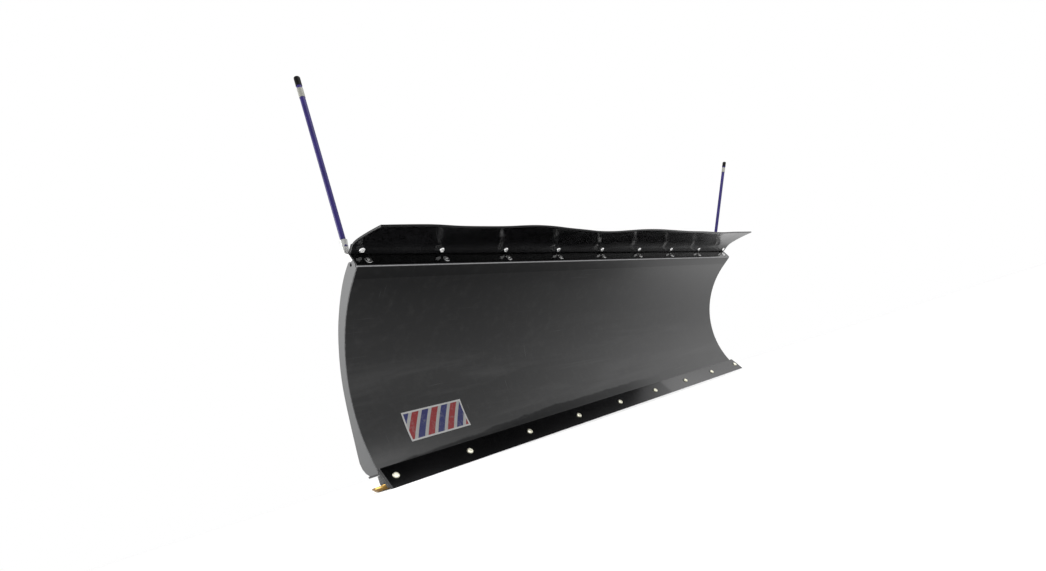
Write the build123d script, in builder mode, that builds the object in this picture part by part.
from build123d import *
import math
import os

# Snow plow blade for an all-terrain vehicle, 72 inch class.
# X runs along the blade (left end of the blade, seen from in front, is -X), the
# front faces -Y and +Z is up.  The blade is drawn in its working stance, cutting
# edge and skid shoes on the ground.  The profile numbers below are measured from
# the cutting edge (y to the rear, z above the ground) and at() moves them to the
# part's own origin, which is the middle of the trip pivot axis.

# ---------------------------------------------------------------- dimensions
BLADE_L = 1828.8            # overall blade width (72 in)
HALF = BLADE_L / 2
PIVOT_Y, PIVOT_Z = 128.0, 96.0   # trip pivot behind and above the cutting edge

SHEET_T = 3.4               # moldboard sheet
EDGE_ANGLE = 55.9           # attack angle of the cutting edge
BAR_W, BAR_T = 63.5, 9.5    # wear bar section
BOLT_PITCH = 222.25         # 8.75 in, nine bolts
BOLT_N = 9
ARC_MID = (74.2, 188.0)     # deepest part of the moldboard curl
LIP_LOW = (-86.6, 462.5)    # end of the curl, start of the straight lip
NOSE = (-116.5, 481.5)      # forward corner of the lip
SEAM = (-97.89, 518.58)     # inner corner between the strip and the flap flange
FLANGE_ANGLE = 149.3
FLANGE_W = 22.0
NOSE_R = 6.4                # outside radius of the nose bend
SEAM_R = 1.0

RIB_T = 6.35
EAR_T = 8.0
PIVOT_RIB_X = 165.0
INNER_RIB_X = 540.0
PIVOT_BORE_R = 8.2

SHELF_TOP = 42.0            # top face of the lower stiffener's shelf
SHELF_BACK = 120.0
STIFF_T = 4.8

FLAP_T = 4.8                # rubber
FLAP_TIP = (-241.0, 528.5)  # middle of the flap's free edge
WASHER_T, WASHER_R = 1.6, 9.5   # washers on top of the flange
FLAP_BOLT_S = 11.7          # bolt row measured along the flange from the seam
FLAP_BOLT_R = 4.0
STRIP_BOLT_B = 17.6         # row of threaded inserts, up the strip from the nose
INSERT_R = 5.6              # barrel of a threaded insert
STRIP_BOLT_PITCH = 219.6

SKID_X, SKID_Y = 858.0, 97.0
POST_R = 12.7
SLEEVE_R, SLEEVE_BORE, SLEEVE_TOP = 19.0, 12.75, 118.0
DISH_R = 50.0
SPACER_R, SPACER_T, SPACER_N = 29.0, 5.4, 4
SKID_DROP = 19.0            # travel of the skid post in its sleeve

MARKER_ROD_R = 6.35
MARKER_LEFT_X, MARKER_RIGHT_X = -907.0, 870.0
MARKER_BOLT_B = 34.0        # bolt position up the strip from the nose

os.makedirs("parts", exist_ok=True)


# ---------------------------------------------------------------- geometry
def at(y, z):
    """Profile point in the part's own frame."""
    return (y - PIVOT_Y, z - PIVOT_Z)


def step(p, d, length):
    return (p[0] + d[0] * length, p[1] + d[1] * length)


def unit(angle):
    return (math.cos(math.radians(angle)), math.sin(math.radians(angle)))


EDGE_DIR = unit(EDGE_ANGLE)                     # up the wear bar
EDGE_BACK = (EDGE_DIR[1], -EDGE_DIR[0])         # out of the back of the bar
BAR_BACK0 = step((0, 0), EDGE_BACK, BAR_T)      # back face of the bar, s = 0
SHEET_BACK0 = step((0, 0), EDGE_BACK, BAR_T + SHEET_T)
FLAT_LOW = step(BAR_BACK0, EDGE_DIR, 14.0)
FLAT_TOP = step(BAR_BACK0, EDGE_DIR, 65.0)
FLANGE_DIR = unit(FLANGE_ANGLE)
FLANGE_UP = (FLANGE_DIR[1], -FLANGE_DIR[0])     # out of the upper, rear face
FLANGE_END = step(SEAM, FLANGE_DIR, FLANGE_W)
_strip = (SEAM[0] - NOSE[0], SEAM[1] - NOSE[1])
_strip_len = math.hypot(*_strip)
STRIP_DIR = (_strip[0] / _strip_len, _strip[1] / _strip_len)
STRIP_BACK = (STRIP_DIR[1], -STRIP_DIR[0])
_lip = (NOSE[0] - LIP_LOW[0], NOSE[1] - LIP_LOW[1])
_lip_len = math.hypot(*_lip)
LIP_DIR = (_lip[0] / _lip_len, _lip[1] / _lip_len)
LIP_BACK = (LIP_DIR[1], -LIP_DIR[0])


def circle_through(a, b, c):
    """Centre and radius of the circle through three profile points."""
    ax, ay = a
    bx, by = b
    cx, cy = c
    d = 2 * (ax * (by - cy) + bx * (cy - ay) + cx * (ay - by))
    ux = ((ax**2 + ay**2) * (by - cy) + (bx**2 + by**2) * (cy - ay) + (cx**2 + cy**2) * (ay - by)) / d
    uy = ((ax**2 + ay**2) * (cx - bx) + (bx**2 + by**2) * (ax - cx) + (cx**2 + cy**2) * (bx - ax)) / d
    return (ux, uy), math.hypot(ax - ux, ay - uy)


CURL_C, CURL_R = circle_through(FLAT_TOP, ARC_MID, LIP_LOW)


def behind_curl(p, gap):
    """The point on the ray through p that lies gap behind the curl's front face."""
    v = (p[0] - CURL_C[0], p[1] - CURL_C[1])
    n = math.hypot(*v)
    return step(CURL_C, (v[0] / n, v[1] / n), CURL_R + gap)


# planes that carry the bolt rows; local x runs along the blade
edge_face = Plane(
    origin=(0, *at(*step((0, 0), EDGE_DIR, BAR_W / 2))),
    x_dir=(1, 0, 0),
    z_dir=(0, -EDGE_BACK[0], -EDGE_BACK[1]),
)
flange_face = Plane(
    origin=(0, *at(*step(SEAM, FLANGE_DIR, FLAP_BOLT_S))),
    x_dir=(1, 0, 0),
    z_dir=(0, -FLANGE_UP[0], -FLANGE_UP[1]),
)


strip_row = Plane(
    origin=(0, *at(*step(NOSE, STRIP_DIR, STRIP_BOLT_B))),
    x_dir=(1, 0, 0),
    z_dir=(0, -STRIP_BACK[0], -STRIP_BACK[1]),
)


def strip_face(x):
    """Front face of the strip at the marker stud; the normal points forward."""
    return Plane(
        origin=(x, *at(*step(NOSE, STRIP_DIR, MARKER_BOLT_B))),
        x_dir=(1, 0, 0),
        z_dir=(0, -STRIP_BACK[0], -STRIP_BACK[1]),
    )


# ---------------------------------------------------------------- moldboard
# one sheet: flat toe for the wear bar, curl, straight lip, nose bend, strip
# going up and back, and the flange that carries the rubber flap
with BuildPart() as moldboard:
    with BuildSketch(Plane.YZ.offset(-HALF)):
        with BuildLine():
            Line(at(*FLAT_LOW), at(*FLAT_TOP))
            ThreePointArc(at(*FLAT_TOP), at(*ARC_MID), at(*LIP_LOW))
            FilletPolyline(
                at(*LIP_LOW), at(*NOSE), at(*SEAM), at(*FLANGE_END),
                radius=(NOSE_R, SEAM_R),
            )
            offset(amount=SHEET_T, side=Side.RIGHT)
        make_face()
    extrude(amount=BLADE_L)
    with BuildSketch(edge_face):
        with GridLocations(BOLT_PITCH, 0, BOLT_N, 1):
            Rectangle(8.8, 8.8)
    extrude(amount=-30, mode=Mode.SUBTRACT)
    with BuildSketch(flange_face):
        with GridLocations(BOLT_PITCH, 0, BOLT_N, 1):
            Circle(FLAP_BOLT_R + 0.4)
    extrude(amount=-12, mode=Mode.SUBTRACT)
    with BuildSketch(strip_row):
        with GridLocations(STRIP_BOLT_PITCH, 0, BOLT_N, 1):
            Circle(INSERT_R + 0.05)
    extrude(amount=-8, mode=Mode.SUBTRACT)

# ---------------------------------------------------------------- wear bar
# flat cutting edge; its lower edge is ground level with the road
with BuildPart() as wear_bar:
    with BuildSketch(Plane.YZ.offset(-HALF)):
        with BuildLine():
            Polyline(
                at(0, 0),
                at(*step((0, 0), EDGE_DIR, BAR_W)),
                at(*step(BAR_BACK0, EDGE_DIR, BAR_W)),
                at(*step(BAR_BACK0, EDGE_DIR, -BAR_BACK0[1] / EDGE_DIR[1])),
                close=True,
            )
        make_face()
    extrude(amount=BLADE_L)
    with BuildSketch(edge_face):
        with GridLocations(BOLT_PITCH, 0, BOLT_N, 1):
            Rectangle(8.8, 8.8)
    extrude(amount=-20, mode=Mode.SUBTRACT)
    chamfer(
        wear_bar.edges().filter_by(Axis.X).sort_by(Axis.Z)[-1:], length=0.8
    )

# carriage bolts: domed head, square neck, plain shank
with BuildPart() as wear_bar_bolts:
    with BuildSketch(edge_face):
        with GridLocations(BOLT_PITCH, 0, BOLT_N, 1):
            Circle(8.9)
    extrude(amount=4.2)
    fillet(
        wear_bar_bolts.edges().filter_by(GeomType.CIRCLE).group_by(
            Axis((0, 0, 0), (0, -EDGE_BACK[0], -EDGE_BACK[1]))
        )[-1],
        radius=3.7,
    )
    with BuildSketch(edge_face):
        with GridLocations(BOLT_PITCH, 0, BOLT_N, 1):
            Rectangle(8.2, 8.2)
    extrude(amount=-9.0)
    with BuildSketch(edge_face):
        with GridLocations(BOLT_PITCH, 0, BOLT_N, 1):
            Circle(3.95)
    extrude(amount=-29.0)

NUT_FACE = BAR_T + SHEET_T + STIFF_T
with BuildPart() as wear_bar_nuts:
    with BuildSketch(edge_face.offset(-NUT_FACE)):
        with GridLocations(BOLT_PITCH, 0, BOLT_N, 1):
            Circle(9.4)
            Circle(4.05, mode=Mode.SUBTRACT)
    extrude(amount=-1.6)
    with BuildSketch(edge_face.offset(-NUT_FACE - 1.6)):
        with GridLocations(BOLT_PITCH, 0, BOLT_N, 1):
            RegularPolygon(radius=6.35, side_count=6, major_radius=False)
            Circle(4.05, mode=Mode.SUBTRACT)
    extrude(amount=-6.6)

# ---------------------------------------------------------------- back frame
# bent plate along the toe: one leg behind the bolts, one leg a shelf
_q1s = (SHELF_TOP - SHEET_BACK0[1]) / EDGE_DIR[1]
with BuildPart() as lower_stiffener:
    with BuildSketch(Plane.YZ.offset(-HALF + 1.0)):
        with BuildLine():
            FilletPolyline(
                at(*step(SHEET_BACK0, EDGE_DIR, 18.0)),
                at(*step(SHEET_BACK0, EDGE_DIR, _q1s)),
                at(SHELF_BACK, SHELF_TOP),
                radius=5.6,
            )
            offset(amount=STIFF_T, side=Side.RIGHT)
        make_face()
    extrude(amount=BLADE_L - 2.0)
    with BuildSketch(edge_face):
        with GridLocations(BOLT_PITCH, 0, BOLT_N, 1):
            Circle(4.6)
    extrude(amount=-40, mode=Mode.SUBTRACT)
    with BuildSketch(Plane.XY.offset(SHELF_TOP - PIVOT_Z)):
        with Locations((-SKID_X, SKID_Y - PIVOT_Y), (SKID_X, SKID_Y - PIVOT_Y)):
            Circle(SLEEVE_BORE + 0.5)
    extrude(amount=-10, mode=Mode.SUBTRACT)
    fillet(
        lower_stiffener.edges().filter_by(Axis.Z).group_by(Axis.Y)[-1], radius=30.0
    )

# rib outline: follows the back of the sheet in front, a slimmer curve behind
RIB_REAR = [
    (-84.0, 502.5), (-60.0, 490.0), (-15.5, 455.5), (11.6, 427.0), (36.0, 396.0),
    (56.1, 363.1), (73.0, 328.6), (86.9, 292.8), (97.0, 255.7), (103.8, 217.0),
    (108.8, 178.3), (113.0, 139.4), (117.0, 100.7),
]
RIB_GAP = 0.1               # weld gap between a rib and the sheet
RIB_TOP_A = step(step(LIP_LOW, LIP_BACK, SHEET_T + RIB_GAP), LIP_DIR, _lip_len - 10.0)
RIB_TOP_B = step(step(NOSE, STRIP_BACK, SHEET_T + RIB_GAP), STRIP_DIR, 10.5)
RIB_TOP_C = step(step(NOSE, STRIP_BACK, SHEET_T + RIB_GAP), STRIP_DIR, 22.0)
RIB_FRONT_LOW = behind_curl(FLAT_TOP, SHEET_T + RIB_GAP)
RIB_FRONT_MID = behind_curl(ARC_MID, SHEET_T + RIB_GAP)
RIB_FRONT_TOP = behind_curl(LIP_LOW, SHEET_T + RIB_GAP)

with BuildPart() as end_rib_left:
    with BuildSketch(Plane.YZ.offset(-HALF)):
        with BuildLine():
            ThreePointArc(at(*RIB_FRONT_LOW), at(*RIB_FRONT_MID), at(*RIB_FRONT_TOP))
            Polyline(
                at(*RIB_FRONT_TOP), at(*RIB_TOP_A), at(*RIB_TOP_B), at(*RIB_TOP_C),
            )
            Polyline(at(*RIB_TOP_C), at(*RIB_REAR[0]))
            Spline(*[at(*p) for p in RIB_REAR])
            Polyline(
                at(*RIB_REAR[-1]), at(118.5, 78.0), at(113.0, 62.0), at(102.0, 50.0),
                at(88.0, SHELF_TOP), at(RIB_FRONT_LOW[0] + 1.2, SHELF_TOP),
                at(*RIB_FRONT_LOW),
            )
        make_face()
    extrude(amount=RIB_T)
    with BuildSketch(Plane.YZ.offset(-HALF)):
        with Locations(at(-91.0, 494.0)):
            Circle(4.2)
    extrude(amount=RIB_T, mode=Mode.SUBTRACT)

with BuildPart() as end_rib_right:
    mirror(end_rib_left.part, about=Plane.YZ)

with BuildPart() as inner_rib_left:
    with BuildSketch(Plane.YZ.offset(-INNER_RIB_X - RIB_T / 2)):
        with BuildLine():
            ThreePointArc(at(*RIB_FRONT_LOW), at(*RIB_FRONT_MID), at(*RIB_FRONT_TOP))
            Polyline(
                at(*RIB_FRONT_TOP), at(*RIB_TOP_A), at(*RIB_TOP_B), at(*RIB_TOP_C),
            )
            Polyline(at(*RIB_TOP_C), at(*RIB_REAR[0]))
            Spline(*[at(*p) for p in RIB_REAR])
            Polyline(
                at(*RIB_REAR[-1]), at(118.5, 78.0), at(113.0, 62.0), at(102.0, 50.0),
                at(88.0, SHELF_TOP), at(RIB_FRONT_LOW[0] + 1.2, SHELF_TOP),
                at(*RIB_FRONT_LOW),
            )
        make_face()
    extrude(amount=RIB_T)

with BuildPart() as inner_rib_right:
    mirror(inner_rib_left.part, about=Plane.YZ)

# the two middle ribs carry the trip pivot ears
with BuildPart() as pivot_rib_left:
    with BuildSketch(Plane.YZ.offset(-PIVOT_RIB_X - EAR_T / 2)):
        with BuildLine():
            ThreePointArc(at(*RIB_FRONT_LOW), at(*RIB_FRONT_MID), at(*RIB_FRONT_TOP))
            Polyline(
                at(*RIB_FRONT_TOP), at(*RIB_TOP_A), at(*RIB_TOP_B), at(*RIB_TOP_C),
            )
            Polyline(at(*RIB_TOP_C), at(*RIB_REAR[0]))
            Spline(*[at(*p) for p in RIB_REAR])
            Polyline(
                at(*RIB_REAR[-1]), at(118.5, 78.0), at(113.0, 62.0), at(102.0, 50.0),
                at(88.0, SHELF_TOP), at(RIB_FRONT_LOW[0] + 1.2, SHELF_TOP),
                at(*RIB_FRONT_LOW),
            )
        make_face()
        with BuildLine():
            Polyline(
                at(100.0, 190.0), at(146.0, 112.0), at(138.0, 76.0), at(100.0, 50.0),
                close=True,
            )
        make_face()
        with Locations(at(PIVOT_Y, PIVOT_Z)):
            Circle(24.0)
    extrude(amount=EAR_T)
    with BuildSketch(Plane.YZ.offset(-PIVOT_RIB_X - EAR_T / 2)):
        with Locations(at(PIVOT_Y, PIVOT_Z)):
            Circle(PIVOT_BORE_R)
    extrude(amount=EAR_T, mode=Mode.SUBTRACT)

with BuildPart() as pivot_rib_right:
    mirror(pivot_rib_left.part, about=Plane.YZ)

# plate between the pivot ribs for the hooks of the trip springs
ANCHOR_Z = 414.0
with BuildPart() as spring_anchor_plate:
    with BuildSketch(Plane.XY.offset(ANCHOR_Z - PIVOT_Z)):
        with Locations((0, 16.0 - PIVOT_Y)):
            Rectangle(2 * PIVOT_RIB_X - EAR_T, 64.0)
        with Locations((-110, 30.0 - PIVOT_Y), (110, 30.0 - PIVOT_Y)):
            Circle(6.5, mode=Mode.SUBTRACT)
    extrude(amount=STIFF_T)

# ---------------------------------------------------------------- rubber flap
# the sheet lies against the underside of the flange, its rear edge close to
# the strip, and reaches forward over the curl
_r0 = step(SEAM, FLANGE_UP, -FLAP_T)
_f0 = step(_r0, FLANGE_DIR, 1.6)
_f1 = step(_r0, FLANGE_DIR, 30.0)
_f2 = (-160.0, 531.8)
_f3 = (FLAP_TIP[0], FLAP_TIP[1] - FLAP_T / 2)
with BuildPart() as rubber_flap:
    with BuildSketch(Plane.YZ.offset(-HALF)):
        with BuildLine():
            FilletPolyline(at(*_f0), at(*_f1), at(*_f2), at(*_f3), radius=(30.0, 90.0))
            offset(amount=FLAP_T, side=Side.RIGHT)
        make_face()
    extrude(amount=BLADE_L)
    with BuildSketch(flange_face.offset(FLAP_T + 5)):
        with GridLocations(BOLT_PITCH, 0, BOLT_N, 1):
            Circle(FLAP_BOLT_R + 0.2)
    extrude(amount=-25, mode=Mode.SUBTRACT)

with BuildPart() as flap_washers:
    with BuildSketch(flange_face.offset(-SHEET_T)):
        with GridLocations(BOLT_PITCH, 0, BOLT_N, 1):
            Circle(WASHER_R)
            Circle(FLAP_BOLT_R + 0.3, mode=Mode.SUBTRACT)
    extrude(amount=-WASHER_T)

with BuildPart() as flap_bolts:
    with BuildSketch(flange_face.offset(FLAP_T)):
        with GridLocations(BOLT_PITCH, 0, BOLT_N, 1):
            Circle(7.6)
    extrude(amount=3.4)
    fillet(
        flap_bolts.edges().filter_by(GeomType.CIRCLE).group_by(
            Axis((0, 0, 0), (0, -FLANGE_UP[0], -FLANGE_UP[1]))
        )[-1],
        radius=2.8,
    )
    with BuildSketch(flange_face.offset(FLAP_T)):
        with GridLocations(BOLT_PITCH, 0, BOLT_N, 1):
            Circle(FLAP_BOLT_R)
    extrude(amount=-19.0)

with BuildPart() as flap_nuts:
    with BuildSketch(flange_face.offset(-SHEET_T - WASHER_T)):
        with GridLocations(BOLT_PITCH, 0, BOLT_N, 1):
            RegularPolygon(radius=6.3, side_count=6, major_radius=False)
            Circle(FLAP_BOLT_R + 0.1, mode=Mode.SUBTRACT)
    extrude(amount=-6.8)

# second row through the strip: flanged threaded inserts, open at both ends
with BuildPart() as strip_inserts:
    with BuildSketch(strip_row):
        with GridLocations(STRIP_BOLT_PITCH, 0, BOLT_N, 1):
            Circle(9.0)
    extrude(amount=1.6)
    fillet(
        strip_inserts.edges().filter_by(GeomType.CIRCLE).group_by(
            Axis((0, 0, 0), (0, -STRIP_BACK[0], -STRIP_BACK[1]))
        )[-1],
        radius=0.7,
    )
    with BuildSketch(strip_row):
        with GridLocations(STRIP_BOLT_PITCH, 0, BOLT_N, 1):
            Circle(INSERT_R)
    extrude(amount=-12.0)
    with BuildSketch(strip_row.offset(5)):
        with GridLocations(STRIP_BOLT_PITCH, 0, BOLT_N, 1):
            Circle(FLAP_BOLT_R)
    extrude(amount=-25.0, mode=Mode.SUBTRACT)

# ---------------------------------------------------------------- skids
G = -PIVOT_Z                       # ground level in the part's frame
_skid = (-SKID_X, SKID_Y - PIVOT_Y)
BOSS_TOP = 15.0
SPACER_TOP = BOSS_TOP + 0.15 + SPACER_N * SPACER_T
PIN_Z = SLEEVE_TOP + SKID_DROP + 1.2 + 3.1 + 5.4

with BuildPart() as skid_sleeve_left:
    with BuildSketch(Plane.XY.offset(SHELF_TOP + G)):
        with Locations(_skid):
            Circle(SLEEVE_R)
            Circle(SLEEVE_BORE, mode=Mode.SUBTRACT)
    extrude(amount=SLEEVE_TOP - SHELF_TOP)

with BuildPart() as skid_sleeve_right:
    mirror(skid_sleeve_left.part, about=Plane.YZ)

# plate that ties the sleeve to the moldboard and the end rib
BRACKET_Z = 101.0
with BuildPart() as skid_bracket_left:
    with BuildSketch(Plane.XY.offset(BRACKET_Z + G)):
        with BuildLine():
            Polyline(
                (-HALF + RIB_T + 0.2, 69.0 - PIVOT_Y), (-SKID_X + 30.0, 69.0 - PIVOT_Y),
                (-SKID_X + 30.0, 98.0 - PIVOT_Y), (-SKID_X + 20.0, 115.5 - PIVOT_Y),
                (-SKID_X - 20.0, 115.5 - PIVOT_Y), (-HALF + RIB_T + 0.2, 106.0 - PIVOT_Y),
                close=True,
            )
        make_face()
        with Locations(_skid):
            Circle(SLEEVE_R + 0.1, mode=Mode.SUBTRACT)
    extrude(amount=5.0)

with BuildPart() as skid_bracket_right:
    mirror(skid_bracket_left.part, about=Plane.YZ)

# cast dish: flat sole, upturned rim, hub on top
with BuildPart() as skid_shoe_left:
    with BuildSketch(Plane.XZ.offset(-_skid[1])):
        with BuildLine():
            Polyline(
                (_skid[0], G), (_skid[0] + 33.0, G), (_skid[0] + 43.0, G + 2.2),
                (_skid[0] + DISH_R, G + 9.0), (_skid[0] + DISH_R - 0.6, G + 12.2),
                (_skid[0] + DISH_R - 3.4, G + 12.6), (_skid[0] + 40.0, G + 7.4),
                (_skid[0] + 31.0, G + 6.0), (_skid[0] + 27.0, G + BOSS_TOP),
                (_skid[0] + POST_R, G + BOSS_TOP), (_skid[0] + POST_R, G + 6.0),
                (_skid[0], G + 6.0), close=True,
            )
        make_face()
    revolve(axis=Axis((_skid[0], _skid[1], 0), (0, 0, 1)))

with BuildPart() as skid_shoe_right:
    mirror(skid_shoe_left.part, about=Plane.YZ)

with BuildPart() as skid_post_left:
    with BuildSketch(Plane.XY.offset(G + 6.0)):
        with Locations(_skid):
            Circle(POST_R)
    extrude(amount=PIN_Z + 14.0 - 6.0)
    chamfer(skid_post_left.edges().sort_by(Axis.Z)[-1:], length=2.0)
    with BuildSketch(Plane.YZ.offset(-SKID_X)):
        with Locations((_skid[1], G + PIN_Z)):
            Circle(3.4)
    extrude(amount=20, both=True, mode=Mode.SUBTRACT)

with BuildPart() as skid_post_right:
    mirror(skid_post_left.part, about=Plane.YZ)

with BuildPart() as skid_spacers_left:
    for i in range(SPACER_N):
        with BuildSketch(Plane.XY.offset(G + BOSS_TOP + 0.15 + i * SPACER_T)):
            with Locations(_skid):
                Circle(SPACER_R)
                Circle(POST_R + 0.4, mode=Mode.SUBTRACT)
        extrude(amount=SPACER_T - 0.15)

with BuildPart() as skid_spacers_right:
    mirror(skid_spacers_left.part, about=Plane.YZ)

with BuildPart() as skid_washer_left:
    with BuildSketch(Plane.XY.offset(G + SLEEVE_TOP + SKID_DROP + 1.2)):
        with Locations(_skid):
            Circle(18.6)
            Circle(POST_R + 0.3, mode=Mode.SUBTRACT)
    extrude(amount=3.0)

with BuildPart() as skid_washer_right:
    mirror(skid_washer_left.part, about=Plane.YZ)

# linch pin: a straight pin with a sprung ring that snaps over the post
with BuildPart() as skid_linch_pin_left:
    with BuildSketch(Plane.YZ.offset(-SKID_X - 15.0)):
        with Locations((_skid[1], G + PIN_Z)):
            Circle(3.3)
    extrude(amount=29.0)
    with BuildSketch(Plane.YZ.offset(-SKID_X - 18.0)):
        with Locations((_skid[1], G + PIN_Z)):
            Circle(4.8)
    extrude(amount=4.4)
    with BuildLine(Plane.XZ.offset(-_skid[1])):
        FilletPolyline(
            (-SKID_X - 16.2, G + PIN_Z), (-SKID_X - 16.2, G + PIN_Z + 22.0),
            (-SKID_X + 16.2, G + PIN_Z + 22.0), (-SKID_X + 16.2, G + PIN_Z - 3.0),
            radius=13.0,
        )
    with BuildSketch(Plane((-SKID_X - 16.2, _skid[1], G + PIN_Z), z_dir=(0, 0, 1))):
        Circle(1.5)
    sweep()

with BuildPart() as skid_linch_pin_right:
    mirror(skid_linch_pin_left.part, about=Plane.YZ)


# ---------------------------------------------------------------- markers
# each marker: flattened steel tail on a stud welded behind the strip, a conical socket,
# a plastic rod, a reflective band and a rubber cap
TAIL_T = 2.6
TAIL_GAP = 0.2
LEFT_TIP = (-910.5, -89.5, 955.0)
RIGHT_TIP = (1033.4, -192.2, 906.6)
_base_y, _base_z = at(-77.5, 528.5)
TAIL_LOW = step(step(NOSE, STRIP_BACK, SHEET_T + TAIL_GAP), STRIP_DIR, MARKER_BOLT_B - 6.6)
TAIL_KINK = step(step(NOSE, STRIP_BACK, SHEET_T + TAIL_GAP), STRIP_DIR, MARKER_BOLT_B + 7.5)
TAIL_HIGH = (-79.0, 527.5)
LEFT_BASE = Vector(MARKER_LEFT_X, _base_y, _base_z)
RIGHT_BASE = Vector(MARKER_RIGHT_X, _base_y, _base_z)
LEFT_DIR = (Vector(LEFT_TIP[0], *at(*LEFT_TIP[1:])) - LEFT_BASE).normalized()
RIGHT_DIR = (Vector(RIGHT_TIP[0], *at(*RIGHT_TIP[1:])) - RIGHT_BASE).normalized()
SOCKET_L = 30.0
ROD_END = 398.0
BAND_A, BAND_B = 377.0, 399.0
CAP_A, CAP_END = 406.0, 428.0


def along(base, direction, d):
    return Plane(origin=base + direction * d, x_dir=(1, 0, 0), z_dir=direction)


with BuildPart() as marker_socket_left:
    with BuildSketch(Plane.YZ.offset(MARKER_LEFT_X - 6.6)):
        with BuildLine():
            FilletPolyline(at(*TAIL_LOW), at(*TAIL_KINK), at(*TAIL_HIGH), radius=3.0)
            offset(amount=TAIL_T, side=Side.RIGHT)
        make_face()
    extrude(amount=13.2)
    with BuildSketch(strip_face(MARKER_LEFT_X)):
        Circle(3.05)
    extrude(amount=-20, mode=Mode.SUBTRACT)
    with BuildSketch(along(LEFT_BASE, LEFT_DIR, -1.5)):
        RectangleRounded(13.6, 4.0, 1.6)
    with BuildSketch(along(LEFT_BASE, LEFT_DIR, SOCKET_L)):
        Circle(9.0)
    loft()
    with BuildSketch(along(LEFT_BASE, LEFT_DIR, SOCKET_L)):
        Circle(MARKER_ROD_R + 0.05)
    extrude(amount=-16.0, mode=Mode.SUBTRACT)

with BuildPart() as marker_socket_right:
    with BuildSketch(Plane.YZ.offset(MARKER_RIGHT_X - 6.6)):
        with BuildLine():
            FilletPolyline(at(*TAIL_LOW), at(*TAIL_KINK), at(*TAIL_HIGH), radius=3.0)
            offset(amount=TAIL_T, side=Side.RIGHT)
        make_face()
    extrude(amount=13.2)
    with BuildSketch(strip_face(MARKER_RIGHT_X)):
        Circle(3.05)
    extrude(amount=-20, mode=Mode.SUBTRACT)
    with BuildSketch(along(RIGHT_BASE, RIGHT_DIR, -1.5)):
        RectangleRounded(13.6, 4.0, 1.6)
    with BuildSketch(along(RIGHT_BASE, RIGHT_DIR, SOCKET_L)):
        Circle(9.0)
    loft()
    with BuildSketch(along(RIGHT_BASE, RIGHT_DIR, SOCKET_L)):
        Circle(MARKER_ROD_R + 0.05)
    extrude(amount=-16.0, mode=Mode.SUBTRACT)

with BuildPart() as marker_rod_left:
    with BuildSketch(along(LEFT_BASE, LEFT_DIR, SOCKET_L - 15.8)):
        Circle(MARKER_ROD_R)
    extrude(amount=ROD_END + 20.0 - SOCKET_L + 15.8)

with BuildPart() as marker_rod_right:
    with BuildSketch(along(RIGHT_BASE, RIGHT_DIR, SOCKET_L - 15.8)):
        Circle(MARKER_ROD_R)
    extrude(amount=ROD_END + 20.0 - SOCKET_L + 15.8)

with BuildPart() as marker_band_left:
    with BuildSketch(along(LEFT_BASE, LEFT_DIR, BAND_A)):
        Circle(MARKER_ROD_R + 0.6)
        Circle(MARKER_ROD_R + 0.02, mode=Mode.SUBTRACT)
    extrude(amount=BAND_B - BAND_A)

with BuildPart() as marker_band_right:
    with BuildSketch(along(RIGHT_BASE, RIGHT_DIR, BAND_A)):
        Circle(MARKER_ROD_R + 0.6)
        Circle(MARKER_ROD_R + 0.02, mode=Mode.SUBTRACT)
    extrude(amount=BAND_B - BAND_A)

with BuildPart() as marker_cap_left:
    with BuildSketch(along(LEFT_BASE, LEFT_DIR, CAP_A)):
        Circle(MARKER_ROD_R + 0.9)
    extrude(amount=CAP_END - CAP_A)
    fillet(marker_cap_left.edges().sort_by(Axis.Z)[-1:], radius=3.0)
    with BuildSketch(along(LEFT_BASE, LEFT_DIR, CAP_A)):
        Circle(MARKER_ROD_R + 0.02)
    extrude(amount=ROD_END + 20.05 - CAP_A, mode=Mode.SUBTRACT)

with BuildPart() as marker_cap_right:
    with BuildSketch(along(RIGHT_BASE, RIGHT_DIR, CAP_A)):
        Circle(MARKER_ROD_R + 0.9)
    extrude(amount=CAP_END - CAP_A)
    fillet(marker_cap_right.edges().sort_by(Axis.Z)[-1:], radius=3.0)
    with BuildSketch(along(RIGHT_BASE, RIGHT_DIR, CAP_A)):
        Circle(MARKER_ROD_R + 0.02)
    extrude(amount=ROD_END + 20.05 - CAP_A, mode=Mode.SUBTRACT)

with BuildPart() as marker_stud_left:
    with BuildSketch(strip_face(MARKER_LEFT_X).offset(-SHEET_T)):
        Circle(3.0)
    extrude(amount=-12.1)

with BuildPart() as marker_stud_right:
    with BuildSketch(strip_face(MARKER_RIGHT_X).offset(-SHEET_T)):
        Circle(3.0)
    extrude(amount=-12.1)

with BuildPart() as marker_nut_left:
    with BuildSketch(strip_face(MARKER_LEFT_X).offset(-SHEET_T - 2 * TAIL_GAP - TAIL_T)):
        RegularPolygon(radius=4.9, side_count=6, major_radius=False)
        Circle(3.1, mode=Mode.SUBTRACT)
    extrude(amount=-6.0)

with BuildPart() as marker_nut_right:
    with BuildSketch(strip_face(MARKER_RIGHT_X).offset(-SHEET_T - 2 * TAIL_GAP - TAIL_T)):
        RegularPolygon(radius=4.9, side_count=6, major_radius=False)
        Circle(3.1, mode=Mode.SUBTRACT)
    extrude(amount=-6.0)

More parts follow.
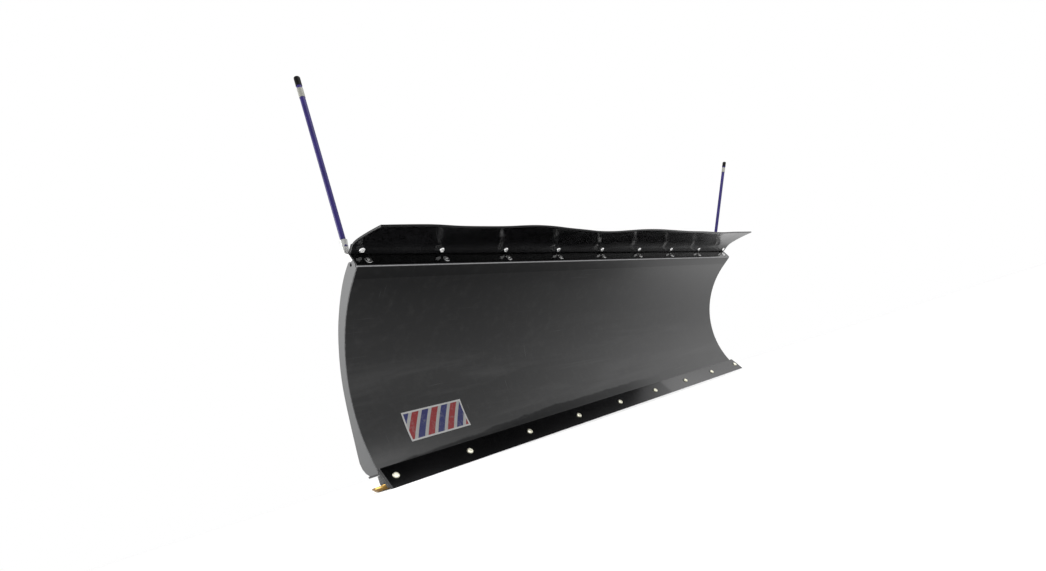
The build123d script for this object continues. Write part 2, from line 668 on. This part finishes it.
# ---------------------------------------------------------------- decal
# plain striped sticker low on the left of the moldboard face
DECAL_X, DECAL_W = -700.0, 190.0
with BuildPart() as striped_decal:
    with BuildSketch(Plane.YZ.offset(DECAL_X - DECAL_W / 2)):
        with BuildLine():
            _a = behind_curl((60.0, 92.0), -0.05)
            _b = behind_curl((69.5, 130.0), -0.05)
            _c = behind_curl((74.0, 168.0), -0.05)
            _d = behind_curl((74.0, 168.0), -0.55)
            _e = behind_curl((69.5, 130.0), -0.55)
            _f = behind_curl((60.0, 92.0), -0.55)
            ThreePointArc(at(*_a), at(*_b), at(*_c))
            Line(at(*_c), at(*_d))
            ThreePointArc(at(*_d), at(*_e), at(*_f))
            Line(at(*_f), at(*_a))
        make_face()
    extrude(amount=DECAL_W)

# ---------------------------------------------------------------- output
moldboard.part.label = "moldboard"
export_step(moldboard.part, "parts/moldboard.step")
wear_bar.part.label = "wear_bar"
export_step(wear_bar.part, "parts/wear_bar.step")
wear_bar_bolts.part.label = "wear_bar_bolts"
export_step(wear_bar_bolts.part, "parts/wear_bar_bolts.step")
wear_bar_nuts.part.label = "wear_bar_nuts"
export_step(wear_bar_nuts.part, "parts/wear_bar_nuts.step")
lower_stiffener.part.label = "lower_stiffener"
export_step(lower_stiffener.part, "parts/lower_stiffener.step")
end_rib_left.part.label = "end_rib_left"
export_step(end_rib_left.part, "parts/end_rib_left.step")
end_rib_right.part.label = "end_rib_right"
export_step(end_rib_right.part, "parts/end_rib_right.step")
inner_rib_left.part.label = "inner_rib_left"
export_step(inner_rib_left.part, "parts/inner_rib_left.step")
inner_rib_right.part.label = "inner_rib_right"
export_step(inner_rib_right.part, "parts/inner_rib_right.step")
pivot_rib_left.part.label = "pivot_rib_left"
export_step(pivot_rib_left.part, "parts/pivot_rib_left.step")
pivot_rib_right.part.label = "pivot_rib_right"
export_step(pivot_rib_right.part, "parts/pivot_rib_right.step")
spring_anchor_plate.part.label = "spring_anchor_plate"
export_step(spring_anchor_plate.part, "parts/spring_anchor_plate.step")
rubber_flap.part.label = "rubber_flap"
export_step(rubber_flap.part, "parts/rubber_flap.step")
flap_washers.part.label = "flap_washers"
export_step(flap_washers.part, "parts/flap_washers.step")
flap_bolts.part.label = "flap_bolts"
export_step(flap_bolts.part, "parts/flap_bolts.step")
flap_nuts.part.label = "flap_nuts"
export_step(flap_nuts.part, "parts/flap_nuts.step")
strip_inserts.part.label = "strip_inserts"
export_step(strip_inserts.part, "parts/strip_inserts.step")
skid_sleeve_left.part.label = "skid_sleeve_left"
export_step(skid_sleeve_left.part, "parts/skid_sleeve_left.step")
skid_sleeve_right.part.label = "skid_sleeve_right"
export_step(skid_sleeve_right.part, "parts/skid_sleeve_right.step")
skid_bracket_left.part.label = "skid_bracket_left"
export_step(skid_bracket_left.part, "parts/skid_bracket_left.step")
skid_bracket_right.part.label = "skid_bracket_right"
export_step(skid_bracket_right.part, "parts/skid_bracket_right.step")
skid_shoe_left.part.label = "skid_shoe_left"
export_step(skid_shoe_left.part, "parts/skid_shoe_left.step")
skid_shoe_right.part.label = "skid_shoe_right"
export_step(skid_shoe_right.part, "parts/skid_shoe_right.step")
skid_post_left.part.label = "skid_post_left"
export_step(skid_post_left.part, "parts/skid_post_left.step")
skid_post_right.part.label = "skid_post_right"
export_step(skid_post_right.part, "parts/skid_post_right.step")
skid_spacers_left.part.label = "skid_spacers_left"
export_step(skid_spacers_left.part, "parts/skid_spacers_left.step")
skid_spacers_right.part.label = "skid_spacers_right"
export_step(skid_spacers_right.part, "parts/skid_spacers_right.step")
skid_washer_left.part.label = "skid_washer_left"
export_step(skid_washer_left.part, "parts/skid_washer_left.step")
skid_washer_right.part.label = "skid_washer_right"
export_step(skid_washer_right.part, "parts/skid_washer_right.step")
skid_linch_pin_left.part.label = "skid_linch_pin_left"
export_step(skid_linch_pin_left.part, "parts/skid_linch_pin_left.step")
skid_linch_pin_right.part.label = "skid_linch_pin_right"
export_step(skid_linch_pin_right.part, "parts/skid_linch_pin_right.step")
marker_socket_left.part.label = "marker_socket_left"
export_step(marker_socket_left.part, "parts/marker_socket_left.step")
marker_socket_right.part.label = "marker_socket_right"
export_step(marker_socket_right.part, "parts/marker_socket_right.step")
marker_rod_left.part.label = "marker_rod_left"
export_step(marker_rod_left.part, "parts/marker_rod_left.step")
marker_rod_right.part.label = "marker_rod_right"
export_step(marker_rod_right.part, "parts/marker_rod_right.step")
marker_band_left.part.label = "marker_band_left"
export_step(marker_band_left.part, "parts/marker_band_left.step")
marker_band_right.part.label = "marker_band_right"
export_step(marker_band_right.part, "parts/marker_band_right.step")
marker_cap_left.part.label = "marker_cap_left"
export_step(marker_cap_left.part, "parts/marker_cap_left.step")
marker_cap_right.part.label = "marker_cap_right"
export_step(marker_cap_right.part, "parts/marker_cap_right.step")
marker_stud_left.part.label = "marker_stud_left"
export_step(marker_stud_left.part, "parts/marker_stud_left.step")
marker_stud_right.part.label = "marker_stud_right"
export_step(marker_stud_right.part, "parts/marker_stud_right.step")
marker_nut_left.part.label = "marker_nut_left"
export_step(marker_nut_left.part, "parts/marker_nut_left.step")
marker_nut_right.part.label = "marker_nut_right"
export_step(marker_nut_right.part, "parts/marker_nut_right.step")
striped_decal.part.label = "striped_decal"
export_step(striped_decal.part, "parts/striped_decal.step")
